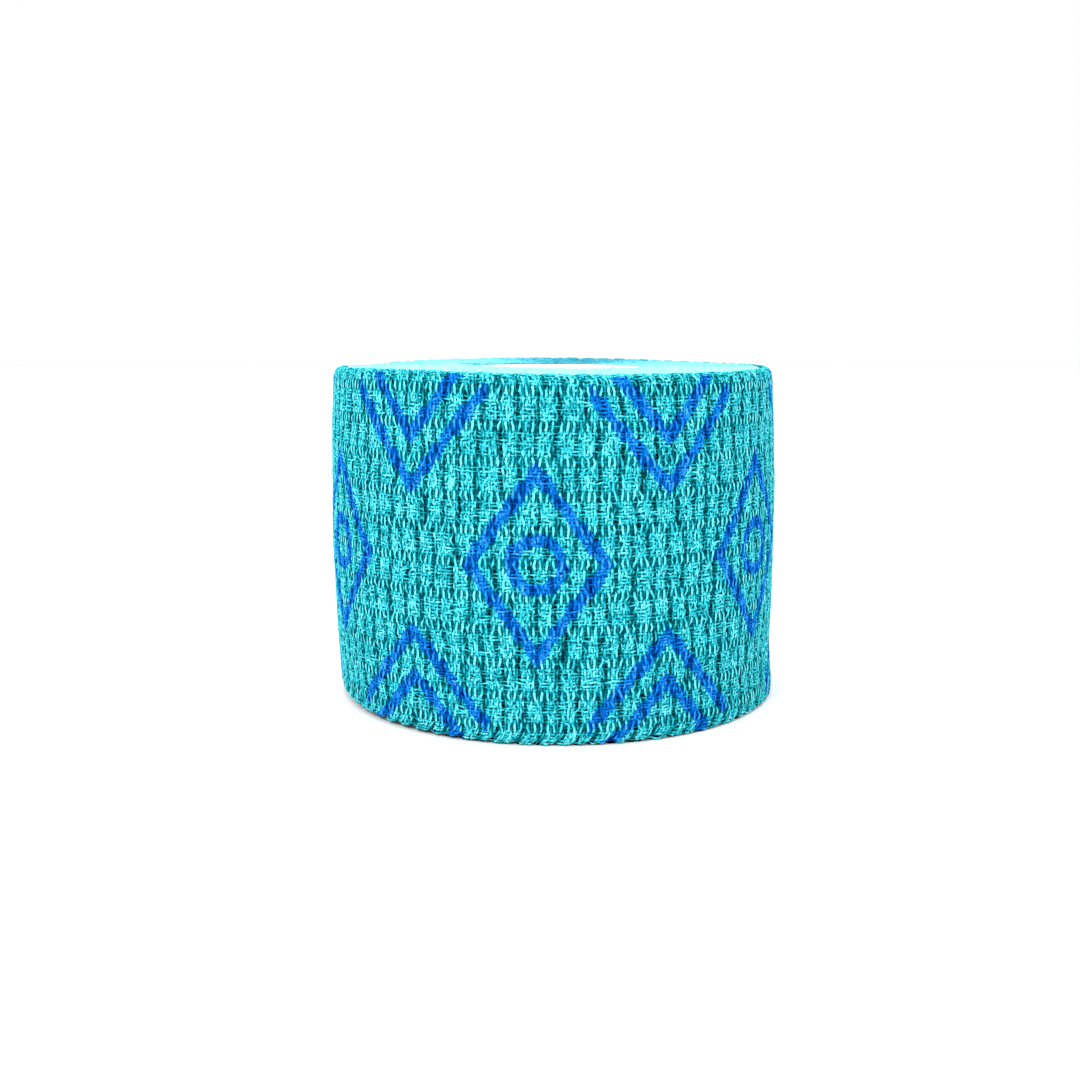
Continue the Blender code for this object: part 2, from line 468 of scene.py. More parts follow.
# Corners of the ribbon's section, a row for each: (side, 1 at the outer face; height; tone). The tones
# paint the light: a painted highlight along the top of the outer face, painted shade down the faces
# that the next turns hide, painted shade on the inner face and a painted shadow at the foot.
section = (
    (0.8, top - EDGE_SLANT, 1.0),
    (1.0, top - EDGE_SLANT - 0.2, 0.9),
    (0.9, top - EDGE_BAND, 0.4),
    (0.9, foot_edge + EDGE_BAND, 0.2),
    (1.0, foot_edge + 0.3, 0.0),
    (0.75, foot_edge, 0.0),
    (-0.75, foot_edge, 0.0),
    (-1.0, foot_edge + 0.3, 0.0),
    (-0.9, foot_edge + EDGE_BAND, 0.2),
    (-0.9, top - EDGE_BAND, 0.2),
    (-1.0, top - 0.12, inner_edge_shading - 0.1),
    (-0.8, top, inner_edge_shading),
)
ribbon = np.stack([inner_point(arc, side_out, z) for side_out, z, _ in section], axis=1)[None, ::-1]
shade = [np.broadcast_to(tone, arc.shape) for _, _, tone in section]
shade = np.stack(shade, axis=1)[None, ::-1]
printed = [ink(-OVERLAP - arc, z) * (side_out == 1.0) for side_out, z, _ in section]
printed = np.stack(printed, axis=1)[None, ::-1]

# Tape edge cloth: the same dyed cotton where it is cut. Its tones paint the light: a painted highlight
# on the outer side of each edge, painted shade on the inner side and low down, and a painted shadow at
# the foot.
edge_cloth = cloth_material(
    "tape_edge_cloth",
    ((0.0, "000c10"), (0.3, "3c98b0"), (0.6, "7cdce6"), (1.0, "b4f4fa")),
    ((0.0, "00286c"), (0.4, "005cb4"), (0.7, "0c7cdc"), (1.0, "46a8f4")),
)
inner_turns = join_roll(
    tubes("inner_turns", ribbon, edge_cloth, {"ink": printed, "tone": shade}, folds=24)
)

# ----------------------------------------------------------------------------------------------
# Ground of the last turn. Elastic cotton crepe: taut elastic threads run along the tape every few
# millimetres and gather the cotton between them into short upright puckers with deep slits.

PANEL = 4.5  # from one elastic thread to the next
FIRST_LINE = 2.6  # from the foot to the first of them
RELIEF = 0.40  # from a pucker's crest to the floor of the deepest slit
BAND_LEVEL = 0.95  # height of the flat band at an elastic thread, as a share of the relief
SLIT_LEAST = 0.65  # depth of the shallowest slit, as a share of the deepest
SLIT_HALF = 0.55  # half of a slit's width
SLIT_END = 0.10  # share of a panel over which a slit runs out, at each end
CREST_FALL = 0.22  # how much a pucker rounds down from its crest to its slits
HEAD_CALM = 0.55  # how much flatter the puckers are at the head, and over how tall a band
HEAD_CALM_BAND = 2.0
BUNCHING = 0.14  # share of their way from the crest that the strands are drawn back
RIB_SLANT = 0.22  # a panel's puckers lean by this share of one, changing along the tape
RIB_SLANT_PACE = 6.3
RIB_SLANT_STEP = 2.1
RIB_SHIFT = 0.6
RIB_SHIFT_SEED = 5.0
# How the puckers wander, a row for each wave: (share of a pucker, wavelength, shift at each panel).
RIB_WANDER = (
    (0.17, 17.3, 1.7),
    (0.09, 7.1, 4.3),
)
PATCHY = 0.08
PATCH_SIZE = 6.0
PATCH_SEED = 4.0
PRINT_STEP = 2.5  # how far the print steps at a slit, as a multiple of the strands' draw
CURL_TALL = 1.6  # the upper edge curls in over the inner turns: its height and depth
CURL_DEEP = 1.4
CURL_LENGTH = 2.36  # its length along the cloth
CURL_PAST = 1.15  # how far yarn ends may pass it, as a multiple of it
FOOT_BAND = 1.3
FOOT_ROUND = 0.25
FOOT_LEAN = 1.5  # how far the strands are dragged back at the foot and at the head
HEAD_LEAN = 0.9
FOOT_LIFT_REACH = 14.0
FOOT_BULGE = 0.9
FOOT_BULGE_REACH = 8.0
SCALLOP = 0.3
SCALLOP_REACH = 1.5
FOOT_GAP = 0.30
FOOT_GAP_UNEVEN = 0.20
FOOT_GAP_PACE = 5.0
FOOT_GAP_SHIFT = 0.9
RIM_RISE = 0.22
RIM_FROM = 34.5
RIM_TALL = 15.0
SIDE_UNEVEN = 0.08
SIDE_UNEVEN_SIZE = 19.0
SIDE_SEED = 1.0
LINE_UNEVEN = 0.06
LINE_UNEVEN_SIZE = 5.0
LINE_SEED = 2.0
LINE_FOOT = 3.0
GROUND_LIFT = -0.40  # from the tape's outer surface, which the yarns' lifts start from too
GROUND_LIFT_INK = 0.15
GROUND_LIFT_TOP = 0.15
GROUND_BACK = -1.0
W_START = ROLL_RADIUS * (TAPE_END - math.tau - FRONT) - OVERLAP
W_END = ROLL_RADIUS * (TAPE_END - FRONT)
CURL_START = TAPE_WIDTH - CURL_TALL
CLOTH_TOP = CURL_START + CURL_LENGTH
NEAR_TOP = CURL_START + 1.1
GROUND_STEP = 0.55
GROUND_POINTS = 72
GROUND_BACK_POINTS = 9
GROUND_FOOT = 0.02
GROUND_BACK_FOOT = 0.07
GROUND_THICK = 0.05
# Tones of the ground: its level, painted shade in the slits, a painted highlight on the curl at the
# head, the back's tone, and a painted shadow at the foot with the height it fades over.
GROUND_TONE = 0.02
GROUND_SLIT_SHADE = 0.36
GROUND_TOP_HIGHLIGHT = 0.3
BACK_TONE = 0.5
FOOT_SHADOW_TONE = -0.4
FOOT_SHADOW_BAND = 0.25
SCATTER_PACES = (12.9898, 78.233)
SCATTER_GAIN = 43758.5453


def scatter(first, second):
    """A fixed value from 0 to 1 for each pair of whole numbers: the fraction of a large sine."""
    sine = np.sin(first * SCATTER_PACES[0] + second * SCATTER_PACES[1])
    return np.mod(np.abs(sine) * SCATTER_GAIN, 1.0)


def patches(w, v):
    """Slow lighter and darker patches of the dye."""
    return PATCHY * waver(w, v, PATCH_SIZE, PATCH_SEED)


def rib_phase(w, v):
    """Number of puckers along the tape, a whole number at each crest, and the panel they are in."""
    panel = np.floor((v - FIRST_LINE) / PANEL)
    from_centre = (v - FIRST_LINE) / PANEL - panel - 0.5
    slant = RIB_SLANT * np.sin(w / RIB_SLANT_PACE + RIB_SLANT_STEP * panel)
    phase = w / RIB + from_centre * slant
    for share, length, step in RIB_WANDER:
        phase = phase + share * np.sin(math.tau * w / length + step * panel)
    return phase + RIB_SHIFT * scatter(panel, RIB_SHIFT_SEED), panel


def pucker(w, v):
    """Height of the cloth from 0 in a deep slit to 1 on a crest, and the sideways draw of its strands.

    The height falls from the rounded top of a pucker to a narrow slit of its own depth, on each
    side. Both fade to a flat band at each elastic thread. Strands draw evenly towards their crest.
    """
    phase, panel = rib_phase(w, v)
    x = phase - np.round(phase)
    slit = SLIT_LEAST + (1.0 - SLIT_LEAST) * scatter(np.floor(phase), panel)
    from_slit = (0.5 - np.abs(x)) * RIB
    profile = 1.0 - slit * (1.0 - smooth_step(0.0, SLIT_HALF, from_slit))
    profile = profile - CREST_FALL * (2.0 * x) ** 2
    y = np.mod((v - FIRST_LINE) / PANEL, 1.0)
    share = smooth_step(0.0, SLIT_END, y) * smooth_step(0.0, SLIT_END, 1.0 - y)
    share = share * (1.0 - HEAD_CALM * smooth_step(TAPE_WIDTH - HEAD_CALM_BAND, TAPE_WIDTH, v))
    height = BAND_LEVEL * (1.0 - share) + share * profile
    return height, -BUNCHING * RIB * share * slit * x


def near_top(v):
    """1 at the cut edge of the head and 0 where its curl begins: there the strands lie flatter."""
    return smooth_step(NEAR_TOP, CLOTH_TOP, v)


def foot_gap(w):
    """How far the outer strands end above the floor: they almost touch it at some places only."""
    return FOOT_GAP + FOOT_GAP_UNEVEN * np.sin(w / FOOT_GAP_PACE - FOOT_GAP_SHIFT)


def to_zero(v, reach):
    """1 at the foot, falling evenly to 0 at the given height."""
    return np.clip(1.0 - v / reach, 0.0, 1.0)


def cloth_point(w, v, lift, relief=RELIEF):
    """Place on the last turn, w along the tape and v across it: (xyz, outward, forward, upward).

    The radius is the barrel's, less the foot's rounding, plus what it gains over the turn, from half
    a pitch less to half a pitch more. At the head the cloth runs over a quarter of an ellipse. From
    there a point is moved outwards by its lift and inwards by the pucker's depth. The foot lifts at
    the left, bulges at the right and is scalloped, and the head rises with the rim.
    """
    height, _ = pucker(w, v)
    head = np.clip((v - CLOTH_TOP) / FIRST_LINE + 1.0, 0.0, 1.0)
    lean = FOOT_LEAN * to_zero(v, FIRST_LINE) ** 2 + HEAD_LEAN * head**2
    angle = FRONT + (w - lean) / ROLL_RADIUS
    curl = 0.5 * math.pi * np.clip((v - CURL_START) / CURL_LENGTH, 0.0, CURL_PAST)
    z = np.minimum(v, CURL_START) + CURL_TALL * np.sin(curl)
    draw_in = barrel(z) + CURL_DEEP * (1.0 - np.cos(curl)) + FOOT_ROUND * to_zero(v, FOOT_BAND) ** 2
    gain = TURN_PITCH * (0.5 + (FRONT + w / ROLL_RADIUS - TAPE_END) / math.tau)
    bulge = FOOT_BULGE * to_zero(v, FOOT_BULGE_REACH) * np.clip(np.cos(angle), 0.0, 1.0)
    uneven = SIDE_UNEVEN * (1.0 + waver(w, v, SIDE_UNEVEN_SIZE, SIDE_SEED))
    depth = lift - relief * (1.0 - height)
    radius = ROLL_RADIUS - draw_in + gain + bulge - uneven + depth * np.cos(curl)
    x = radius * np.cos(angle) + SKEW * (0.5 - z / TAPE_WIDTH)
    y = radius * np.sin(angle)
    line = LINE_UNEVEN * waver(w, v, LINE_UNEVEN_SIZE, LINE_SEED)
    z = z + depth * np.sin(curl) + line * np.clip(v / LINE_FOOT, 0.0, 1.0)
    z = z + to_zero(v, FOOT_LIFT_REACH) * foot_lift(angle)
    z = z + SCALLOP * (1.0 - height) * to_zero(v, SCALLOP_REACH)
    rim = RIM_RISE + humps(angle, RIM_HUMPS)
    z = z + rim * np.clip((v - RIM_FROM) / RIM_TALL, 0.0, 1.0)
    outward = np.stack([np.cos(angle) * np.cos(curl), np.sin(angle) * np.cos(curl), np.sin(curl)], -1)
    forward = np.stack([-np.sin(angle), np.cos(angle), np.zeros_like(angle)], axis=-1)
    return np.stack([x, y, z], axis=-1), outward, forward, np.cross(outward, forward)


columns = int((W_END - W_START) / GROUND_STEP)
up = np.concatenate(
    [
        np.linspace(GROUND_FOOT, CLOTH_TOP, GROUND_POINTS),
        np.linspace(CLOTH_TOP - GROUND_THICK, GROUND_BACK_FOOT, GROUND_BACK_POINTS),
    ]
)
outer_side = np.arange(len(up)) < GROUND_POINTS
w, v = np.meshgrid(np.linspace(W_START, W_END, columns), up, indexing="ij")
height, draw = pucker(w, v)
cover = np.where(outer_side, ink(w - PRINT_STEP * draw, v), 0.0)
lift = GROUND_LIFT + GROUND_LIFT_INK * cover + GROUND_LIFT_TOP * near_top(v)
lift = np.where(outer_side, lift, GROUND_BACK)
ground = cloth_point(w, v, lift, np.where(outer_side, RELIEF, 0.0))[0]
# Painted shadow under the strands' ends at the foot, which also hides the print there; painted shade in
# the slits and a painted highlight near the cut edge of the head.
in_shadow = 1.0 - smooth_step(0.0, FOOT_SHADOW_BAND, v - foot_gap(w))
shade = GROUND_TONE + GROUND_SLIT_SHADE * height + patches(w, v) + GROUND_TOP_HIGHLIGHT * near_top(v)
shade = np.where(outer_side, shade, BACK_TONE) * (1.0 - in_shadow) + FOOT_SHADOW_TONE * in_shadow
cover = cover * (1.0 - in_shadow)
spread = np.stack([w, v, np.zeros_like(w)], axis=-1)

# Adhesive filled ground cloth: the darker teal between the strands, with short pale hairs. Its dark
# teal is partly painted shade in the gaps between the strands, and its near-black is painted shadow
# under the foot.
ground_cloth = cloth_material(
    "adhesive_ground_cloth_and_gap_shade",
    ((0.0, "000c10"), (0.15, "005c68"), (0.5, "007c88"), (0.8, "0c9ca8"), (1.0, "30c8d4")),
    ((0.0, "001440"), (0.15, "00408c"), (0.45, "0054ac"), (0.75, "0a6cd0"), (1.0, "2c92f4")),
    fuzz=0.15,
)
outer_turn = join_roll(
    tubes(
        "outer_turn_ground",
        ground[None, ::-1],
        ground_cloth,
        {"ink": cover[None, ::-1], "tone": shade[None, ::-1], "along": spread[None, ::-1]},
    )
)

# ----------------------------------------------------------------------------------------------
# Upright strands. Hard twisted cotton woven across the tape in a plain weave, kinked by its twist.
# They draw together on the puckers' crests, and every other one floats over each elastic thread.

STRANDS_IN_RIB = 6
STRAND = RIB / STRANDS_IN_RIB
FIRST_STRAND = 0.4  # from the start of the last turn to its first strand
PICKS_IN_PANEL = 10
PICK = PANEL / PICKS_IN_PANEL
SPARE_PICKS = 6  # rows of the weave past the edges of the tape
DASH_REACH = 2  # picks from an elastic thread to where the strands' dashes over it end
STRAND_HALF_WIDTH = 0.150
STRAND_FLATNESS = 0.85
STRAND_LIFT = -0.21
STRAND_CRIMP = 0.10
STRAND_OFFSET = 0.08
STRAND_KINK = 0.12
# Slow sways of each strand, a row for each: (shortest wavelength, longest, size).
STRAND_SWAYS = (
    (1.4, 2.1, 0.05),
    (2.6, 4.6, 0.08),
)
STILL_AT_ELASTIC = 0.6  # share of the sway that an elastic thread takes away
MISPICKS = 0.28  # share of the crossings where the wrong yarn is on top
LEAST_CRIMP = 0.5
DASH_DIP = 0.8  # how deep a floating strand dives beside its dash
DASH_HALF = 0.75
TOP_SINK = 0.15
YARN_FOOT = 0.75  # between a strand's ends and the weft nearest to them
YARN_TOP = 0.3
STRAND_FOOT_UNEVEN = (-0.08, 0.12)
STRAND_TOP_UNEVEN = (-0.1, 0.3)
YARN_SLUBS = 0.2
YARN_INK_SWELL = 0.12
OVER_SWELL = 0.2
STRAND_SLUB_SIZE = 2.3
STRAND_SLUB_TALL = 3.0  # how many times longer the slubs are up a strand than along the tape
STRAND_SLUB_SEED = 3.0
STRAND_TONE = (0.54, 0.22, 0.3)  # level, gain where it lies over as painted light, loss down in a slit as painted shade
YARN_TONE_SPREAD = 0.1
RING_TONE_SPREAD = 0.2
# Painted shade on each yarn's inner corner, which is turned away from the light.
INNER_CORNER_SHADE = np.array([-0.35, 0.0, 0.0])
CLOSED_END = 0.35

rng = np.random.default_rng(7)
strand_count = int((W_END - W_START - FIRST_STRAND) / STRAND)
strand_number = np.arange(strand_count)
strand_offset = rng.uniform(-STRAND_OFFSET, STRAND_OFFSET, (strand_count, 1))
strand_sways = [
    (
        rng.uniform(shortest, longest, (strand_count, 1)),
        rng.uniform(0.0, math.tau, (strand_count, 1)),
        size,
    )
    for shortest, longest, size in STRAND_SWAYS
]
first_pick = math.ceil(-FIRST_LINE / PICK) - 1
pick_columns = int(TAPE_WIDTH / PICK) + SPARE_PICKS
strand_kinks = rng.uniform(-STRAND_KINK, STRAND_KINK, (strand_count, pick_columns))

# A plain weave with faults: 1 where the strand passes over the weft, -1 where it passes under. Every
# other strand floats over the three picks at each elastic thread, as one long dash.
alternate = np.where(strand_number % 2 == 0, 1.0, -1.0)[:, None]
pick_column = np.arange(pick_columns) + first_pick
half_panel = PICKS_IN_PANEL // 2
from_elastic = np.abs(np.mod(pick_column + half_panel, PICKS_IN_PANEL) - half_panel)
faults = np.where(rng.uniform(0.0, 1.0, (strand_count, pick_columns)) < MISPICKS, -1.0, 1.0)
interlace = alternate * np.where(pick_column % 2 == 0, 1.0, -1.0) * faults
interlace = interlace * rng.uniform(LEAST_CRIMP, 1.0, interlace.shape)
interlace = np.where(from_elastic < DASH_REACH, alternate, interlace)
interlace = np.where(from_elastic == DASH_REACH, -DASH_DIP * alternate, interlace)


def between(values, place):
    """Each row of values read at fractional places along the row, in straight lines."""
    low = np.clip(np.floor(place).astype(int), 0, values.shape[1] - 2)
    part = np.clip(place - low, 0.0, 1.0)
    before = np.take_along_axis(values, low, 1)
    return before + part * (np.take_along_axis(values, low + 1, 1) - before)


def at_elastic(v):
    """1 on an elastic thread, fading to 0 about a dash's half height above and below it."""
    from_line = np.abs(np.mod((v - FIRST_LINE) / PANEL + 0.5, 1.0) - 0.5) * PANEL
    return np.exp(-((from_line / DASH_HALF) ** 2))


def strand_place(v):
    """Where along the tape each strand runs at the heights v: its sways and kinks, drawn to crests."""
    base = W_START + FIRST_STRAND + STRAND * strand_number[:, None] + strand_offset
    picks_up = (v - FIRST_LINE) / PICK - first_pick
    sway = between(strand_kinks, np.broadcast_to(picks_up, (strand_count, v.shape[1])))
    for length, start, size in strand_sways:
        sway = sway + size * np.sin(math.tau * v / length + start)
    return base + pucker(base, v)[1] + (1.0 - STILL_AT_ELASTIC * at_elastic(v)) * sway


def yarn_sections(centre, outward, across, half_width, half_height):
    """Three cornered sections about each yarn's centre line, in the plane across it.

    A corner is the centre plus its cosine times the width across plus its sine times the height
    outwards; the first corner is the inner one. The end rings close to a third of the size.
    """
    turn = math.tau * (0.75 + np.arange(3) / 3.0)
    half_width = np.broadcast_to(half_width, centre.shape[:2])[..., None, None]
    half_height = np.broadcast_to(half_height, centre.shape[:2])[..., None, None]
    flat = half_width * np.cos(turn)[:, None]
    tall = half_height * np.sin(turn)[:, None]
    corners = flat * across[..., None, :] + tall * outward[..., None, :]
    corners[:, [0, -1]] *= CLOSED_END
    return centre[..., None, :] + corners


def yarn_tones(w, v, over, height, levels):
    """Tone of each ring's corners: painted light where the yarn lies over, painted shade in a slit and
    on the corner beneath.
    """
    level, gain, loss = levels
    shade = rng.uniform(-YARN_TONE_SPREAD, YARN_TONE_SPREAD, (len(w), 1))
    shade = shade + rng.uniform(-RING_TONE_SPREAD, RING_TONE_SPREAD, w.shape)
    shade = shade + level + gain * over - loss * (1.0 - height) + patches(w, v)
    return shade[..., None] + INNER_CORNER_SHADE


def yarn_layers(cover, shade):
    """The ink and tone of each corner of three cornered yarns."""
    return {"ink": np.repeat(cover[..., None], 3, axis=2), "tone": shade}


def join_yarns(name, parts, yarns, cover, shade):
    """Two pieces of like yarns, the first half of them and the others, fixed to the roll."""
    half = len(yarns) // 2
    pieces = []
    for part, chosen in zip(parts, (slice(0, half), slice(half, None))):
        layers = yarn_layers(cover[chosen], shade[chosen])
        pieces.append(join_roll(tubes(f"{name}_{part}", yarns[chosen], yarn_cotton, layers)))
    return pieces


lowest = math.ceil((YARN_FOOT - FIRST_LINE) / PICK)
highest = math.floor((CLOTH_TOP - YARN_TOP - FIRST_LINE) / PICK)
strand_foot = foot_gap(W_START + STRAND * strand_number[:, None])
strand_foot = strand_foot + rng.uniform(*STRAND_FOOT_UNEVEN, (strand_count, 1))
strand_top = CLOTH_TOP + rng.uniform(*STRAND_TOP_UNEVEN, (strand_count, 1))
ring_height = np.tile(FIRST_LINE + PICK * np.arange(lowest, highest + 1), (strand_count, 1))
v = np.concatenate([strand_foot, ring_height, strand_top], axis=1)
w = strand_place(v)
over = between(interlace, (v - FIRST_LINE) / PICK - first_pick)
height, draw = pucker(w, v)
cover = ink(w - PRINT_STEP * draw, v)
lift = STRAND_LIFT + STRAND_CRIMP * over - TOP_SINK * near_top(v)
centre, outward, forward, _ = cloth_point(w, v, lift)
slubs = YARN_SLUBS * waver(w * STRAND_SLUB_TALL, v, STRAND_SLUB_SIZE, STRAND_SLUB_SEED)
thick = STRAND_HALF_WIDTH * (1.0 + slubs + YARN_INK_SWELL * cover + OVER_SWELL * over)
strands = yarn_sections(centre, outward, -forward, thick, STRAND_FLATNESS * thick)
shade = yarn_tones(w, v, over, height, STRAND_TONE)

# Dyed cotton yarn: teal, blue where printed. Its tones paint the light: bright along a yarn's top where
# it lies over, and painted shade on its inner corner, where it dips under and down in the slits.
yarn_cotton = cloth_material(
    "dyed_cotton_yarn",
    ((0.0, "00505c"), (0.3, "068e9a"), (0.6, "30c8d6"), (1.0, "80f8ff")),
    ((0.0, "003078"), (0.4, "0064bc"), (0.7, "1084e4"), (1.0, "4ab0fc")),
)
upright_strands = join_yarns("upright_strands", ("left", "right"), strands, cover, shade)

# ----------------------------------------------------------------------------------------------
# Lengthwise yarns. Cotton weft along the tape, over one strand and under the next. At each elastic
# thread three picks are drawn in under the strands' dashes. All fray at the tape's outer end.

WEFT_HALF_WIDTH = 0.13
WEFT_FLATNESS = 0.8
WEFT_LIFT = -0.20
WEFT_CRIMP = 0.10
WEFT_SINK = 0.12
WEFT_IN_SLIT = 0.4  # share of its width that a weft loses where it dips into a slit
WEFT_FOOT = 0.35
LEAST_GAP = 0.05
FRAY = (0.3, 1.9)
FRAY_DROOP = 0.5
FRAY_BAND = 2.0
WEFT_JOG = 0.09
# Slow sways of each weft, a row for each: (shortest wavelength, longest, size).
WEFT_SWAYS = (
    (1.6, 2.6, 0.05),
    (3.0, 5.5, 0.07),
)
ELASTIC_SWAY = 0.3
WEFT_SLUB_STEP = 9.0
WEFT_SLUB_SIZE = 3.1
WEFT_SLUB_SEED = 5.0
WEFT_TONE = (0.52, 0.24, 0.6)  # level, gain where it lies over as painted light, loss down in a slit as painted shade

lowest = math.ceil((WEFT_FOOT - FIRST_LINE) / PICK)
highest = math.floor((CLOTH_TOP - WEFT_FOOT - FIRST_LINE) / PICK)
picks = np.arange(lowest, highest + 1)[:, None]
pick_count = len(picks)
weave_row = picks[:, 0] - first_pick
elastic = from_elastic[weave_row][:, None] < DASH_REACH
pick_height = FIRST_LINE + PICK * picks
spacing = LEAST_GAP * strand_number
strand_at = np.maximum.accumulate(strand_place(pick_height.T).T - spacing, axis=1) + spacing
fray = rng.uniform(*FRAY, (pick_count, 1))
w = np.concatenate([np.full_like(fray, W_START), strand_at, W_END + fray], axis=1)
over = np.pad(-interlace.T[weave_row], ((0, 0), (1, 1)), mode="edge")
over = np.where(elastic, -1.0, over)
sway = rng.uniform(-WEFT_JOG, WEFT_JOG, (pick_count, strand_count + 2))
for shortest, longest, size in WEFT_SWAYS:
    length = rng.uniform(shortest, longest, (pick_count, 1))
    start = rng.uniform(0.0, math.tau, (pick_count, 1))
    sway = sway + size * np.sin(math.tau * w / length + start)
v = pick_height + np.where(elastic, ELASTIC_SWAY, 1.0) * sway
height, draw = pucker(w, v)
cover = ink(w - PRINT_STEP * draw, v)
droop = FRAY_DROOP * smooth_step(0.0, FRAY_BAND, w - W_END)
lift = WEFT_LIFT + WEFT_CRIMP * over - WEFT_SINK * (1.0 - height) - droop - TOP_SINK * near_top(v)
centre, outward, _, upward = cloth_point(w, v, lift)
slubs = YARN_SLUBS * waver(w, WEFT_SLUB_STEP * picks, WEFT_SLUB_SIZE, WEFT_SLUB_SEED)
thick = WEFT_HALF_WIDTH * (1.0 + slubs + YARN_INK_SWELL * cover + OVER_SWELL * over)
thick = thick * (1.0 - WEFT_IN_SLIT * (1.0 - height))
wefts = yarn_sections(centre, outward, upward, thick, WEFT_FLATNESS * thick)
shade = yarn_tones(w, v, over, height, WEFT_TONE)
lengthwise_yarns = join_yarns("lengthwise_yarns", ("lower", "upper"), wefts, cover, shade)

# ----------------------------------------------------------------------------------------------
# Crepe kinks. Hard twisted yarn springs up between its crossings when the elastic threads draw the
# cloth together: a short loop in about every sixth mesh, lying upright, across or aslant.

KINK_HALF_LENGTH = 0.38
KINK_LENGTHS = (0.6, 1.1)
KINK_HALF_WIDTH = 0.14
KINK_WIDTHS = (0.7, 1.15)
KINK_FLATNESS = 0.85
KINK_TOP = -0.10
KINK_FOOT = -0.30
KINK_BEND = 0.10
KINK_RINGS = 4
KINK_SHARE = 0.26  # of the meshes, and how much less of them at an elastic thread
KINK_SHARE_LOST = 0.25
KINK_LEAST_HEIGHT = 0.6  # of the pucker it sits on
KINK_PLACES = (0.3, 0.7)
KINK_OFFSET = 0.2
KINK_LEAN = math.radians(28.0)
KINKS_ACROSS = 0.35
KINK_TONE = 0.64
KINK_TONE_SPREAD = 0.25
# Painted shade: a kink is darker towards its ends, where it dives into the cloth, and down in a slit.
KINK_END_SHADE = 0.1
KINK_SLIT_SHADE = 0.4

mesh_pick, mesh_strand = np.meshgrid(np.arange(pick_count - 1), np.arange(strand_count - 1))
mesh_pick = mesh_pick.ravel()
mesh_strand = mesh_strand.ravel()
mesh_v = pick_height[mesh_pick, 0] + PICK * rng.uniform(*KINK_PLACES, mesh_pick.size)
share = KINK_SHARE - KINK_SHARE_LOST * at_elastic(mesh_v)
kept = rng.uniform(0.0, 1.0, mesh_pick.size) < share
mesh_w = 0.5 * (strand_at[mesh_pick, mesh_strand] + strand_at[mesh_pick, mesh_strand + 1])
kept = kept & (pucker(mesh_w, mesh_v)[0] > KINK_LEAST_HEIGHT)
mesh_w, mesh_v = mesh_w[kept], mesh_v[kept]
kink_count = mesh_w.size
mesh_w = mesh_w + STRAND * rng.uniform(-KINK_OFFSET, KINK_OFFSET, kink_count)
lean = rng.normal(0.0, KINK_LEAN, kink_count)
across = rng.uniform(0.0, 1.0, kink_count) < KINKS_ACROSS
turn = np.where(across, 0.0, 0.5 * math.pi) + lean
length = KINK_HALF_LENGTH * rng.uniform(*KINK_LENGTHS, kink_count)
bend = KINK_BEND * rng.uniform(-1.0, 1.0, kink_count)
part = np.linspace(-1.0, 1.0, KINK_RINGS)
along = length[:, None] * part
aside = bend[:, None] * (1.0 - part**2)
cos, sin = np.cos(turn)[:, None], np.sin(turn)[:, None]
w = mesh_w[:, None] + along * cos - aside * sin
v = mesh_v[:, None] + along * sin + aside * cos
height, draw = pucker(w, v)
cover = ink(w - PRINT_STEP * draw, v)
lift = KINK_TOP + (KINK_FOOT - KINK_TOP) * part**2 - TOP_SINK * near_top(v)
centre, outward, forward, upward = cloth_point(w, v, lift)
beside = forward * -sin[..., None] + upward * cos[..., None]
thick = KINK_HALF_WIDTH * rng.uniform(*KINK_WIDTHS, (kink_count, 1))
thick = thick * (1.0 + YARN_INK_SWELL * cover)
kinks = yarn_sections(centre, outward, beside, thick, KINK_FLATNESS * thick)
shade = KINK_TONE + rng.uniform(-KINK_TONE_SPREAD, KINK_TONE_SPREAD, (kink_count, 1))
# Painted shade towards the kink's ends and in the slits.
shade = shade - KINK_END_SHADE * part**2 - KINK_SLIT_SHADE * (1.0 - height) + patches(w, v)
layers = yarn_layers(cover, shade[..., None] + INNER_CORNER_SHADE)
crepe_kinks = join_roll(tubes("crepe_kinks", kinks, yarn_cotton, layers, per_row=64))

# ----------------------------------------------------------------------------------------------
# Edge fibres. Where the tape was slit from its wide roll, broken fibres of each inner turn lie
# along the upper cut edge.

FIBRE_LENGTH = 2.0
FIBRE_LENGTHS = (0.4, 1.0)
FIBRE_SPACING = 2.0
FIBRE_START = 0.9  # turns in from the ribbon's outer end
FIBRE_RISE = 0.02
FIBRE_HALF = 0.05
FIBRE_SIZES = (0.6, 1.2)
FIBRE_FLATNESS = 0.7
FIBRE_SIDES = 0.8
FIBRE_SLANT = 0.4
FIBRE_TONES = (0.3, 0.9)
# Painted shade on each fibre's inner corner, which is turned away from the light.
FIBRE_INNER_CORNER_SHADE = np.array([-0.2, 0.0, 0.0])

fibre_count = int(inner_length / FIBRE_SPACING)
first_fibre = FIBRE_START * math.tau * INNER_START
fibre_room = inner_length - FIBRE_LENGTH - first_fibre
arc = first_fibre + fibre_room * rng.uniform(0.0, 1.0, fibre_count)
length = FIBRE_LENGTH * rng.uniform(*FIBRE_LENGTHS, fibre_count)
side_out = rng.uniform(-FIBRE_SIDES, FIBRE_SIDES, fibre_count)
slant = rng.uniform(-FIBRE_SLANT, FIBRE_SLANT, fibre_count)
centre = []
for part in (0.0, 0.5, 1.0):
    at = arc + length * part
    rise = FIBRE_RISE * (math.sin(math.pi * part) - 0.5)
    side = side_out + slant * (part - 0.5)
    centre.append(inner_point(at, side, head_edge(at) - 0.5 * EDGE_SLANT * (1.0 + side) + rise))
centre = np.stack(centre, axis=1)
angle = np.repeat(wind(arc)[0][:, None], 3, axis=1)
radial = np.stack([np.cos(angle), np.sin(angle), np.zeros_like(angle)], axis=-1)
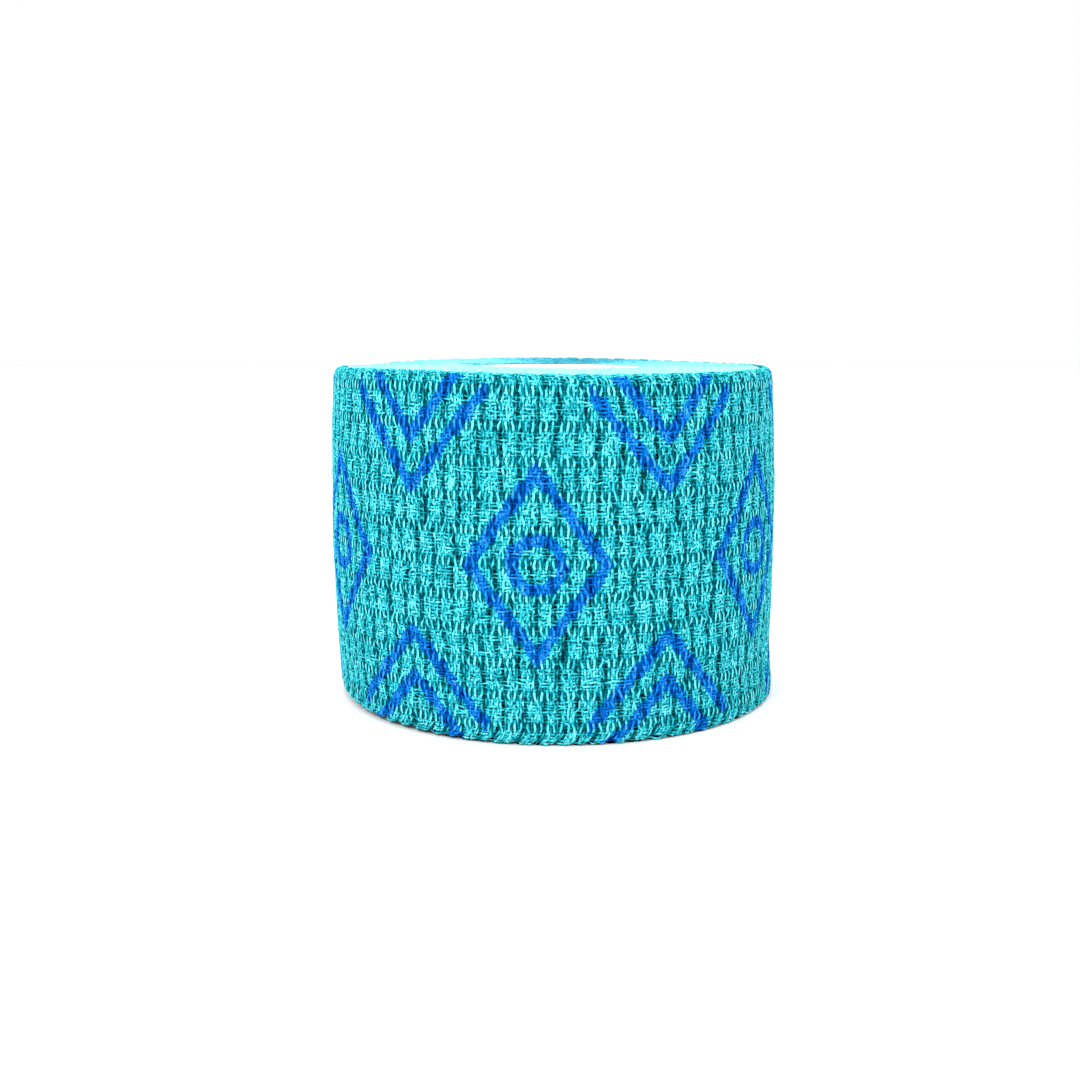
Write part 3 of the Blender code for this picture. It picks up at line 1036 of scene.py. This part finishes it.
vertical = np.broadcast_to([0.0, 0.0, 1.0], radial.shape)
thick = FIBRE_HALF * rng.uniform(*FIBRE_SIZES, (fibre_count, 1))
fibres = yarn_sections(centre, vertical, radial, thick, FIBRE_FLATNESS * thick)
shade = rng.uniform(*FIBRE_TONES, (fibre_count, 1, 1)) + FIBRE_INNER_CORNER_SHADE
layers = {"ink": np.zeros(fibres.shape[:3]), "tone": np.broadcast_to(shade, fibres.shape[:3])}
edge_fibres = join_roll(tubes("edge_fibres", fibres, edge_cloth, layers, per_row=64))

# ----------------------------------------------------------------------------------------------
# Stage. A pale floor, a white room, three soft lights and the camera at the front.

FLOOR_SIZE = 3000.0
PAPER_ROUGHNESS = 0.9
PAPER_SPECULAR = 0.2
ROOM_STRENGTH = 1.0
# Soft lights, a row for each: (name, place, side of the square, watts).
LIGHTS = (
    ("key", (-350.0, -450.0, 550.0), 350.0, 3.0),
    ("fill", (450.0, -450.0, 350.0), 350.0, 0.8),
    ("top", (0.0, 150.0, 700.0), 400.0, 3.0),
)
CAMERA_PLACE = (-0.11, -204.34, 57.6)
CAMERA_DOWN = math.radians(9.70)
CAMERA_LEFT = math.radians(0.484)
CAMERA_LENS = 43.876
CAMERA_NEAR = 10.0

bpy.ops.mesh.primitive_plane_add(size=FLOOR_SIZE * MM, location=(0.0, 0.0, 0.0))
floor = bpy.context.active_object
floor.name = "floor"

# White sweep paper: matt and a little under white, so that the roll's soft shadow shows on it.
paper, tree, shader = new_material("white_sweep_paper", PAPER_ROUGHNESS, PAPER_SPECULAR)
shader.inputs["Base Color"].default_value = (*linear("fafafa"), 1.0)
floor.data.materials.append(paper)

world = bpy.data.worlds.new("white_room")
bpy.context.scene.world = world
world.use_nodes = True
background = world.node_tree.nodes["Background"]
background.inputs["Color"].default_value = (1.0, 1.0, 1.0, 1.0)
background.inputs["Strength"].default_value = ROOM_STRENGTH


def area_light(name, place, size, power):
    """A square soft light at a place, in millimetres, pointing at the middle of the roll."""
    data = bpy.data.lights.new(name, "AREA")
    data.size = size * MM
    data.energy = power
    light = bpy.data.objects.new(name, data)
    bpy.context.scene.collection.objects.link(light)
    light.location = Vector(place) * MM
    way = Vector((0.0, 0.0, TAPE_WIDTH / 2.0)) - Vector(place)
    light.rotation_euler = way.to_track_quat("-Z", "Y").to_euler()


for row in LIGHTS:
    area_light(*row)

camera_data = bpy.data.cameras.new("camera")
camera_data.lens = CAMERA_LENS
camera_data.clip_start = CAMERA_NEAR * MM
camera = bpy.data.objects.new("camera", camera_data)
bpy.context.scene.collection.objects.link(camera)
camera.location = [x * MM for x in CAMERA_PLACE]
camera.rotation_euler = (0.5 * math.pi - CAMERA_DOWN, 0.0, CAMERA_LEFT)
bpy.context.scene.camera = camera
bpy.context.scene.view_settings.view_transform = "Standard"
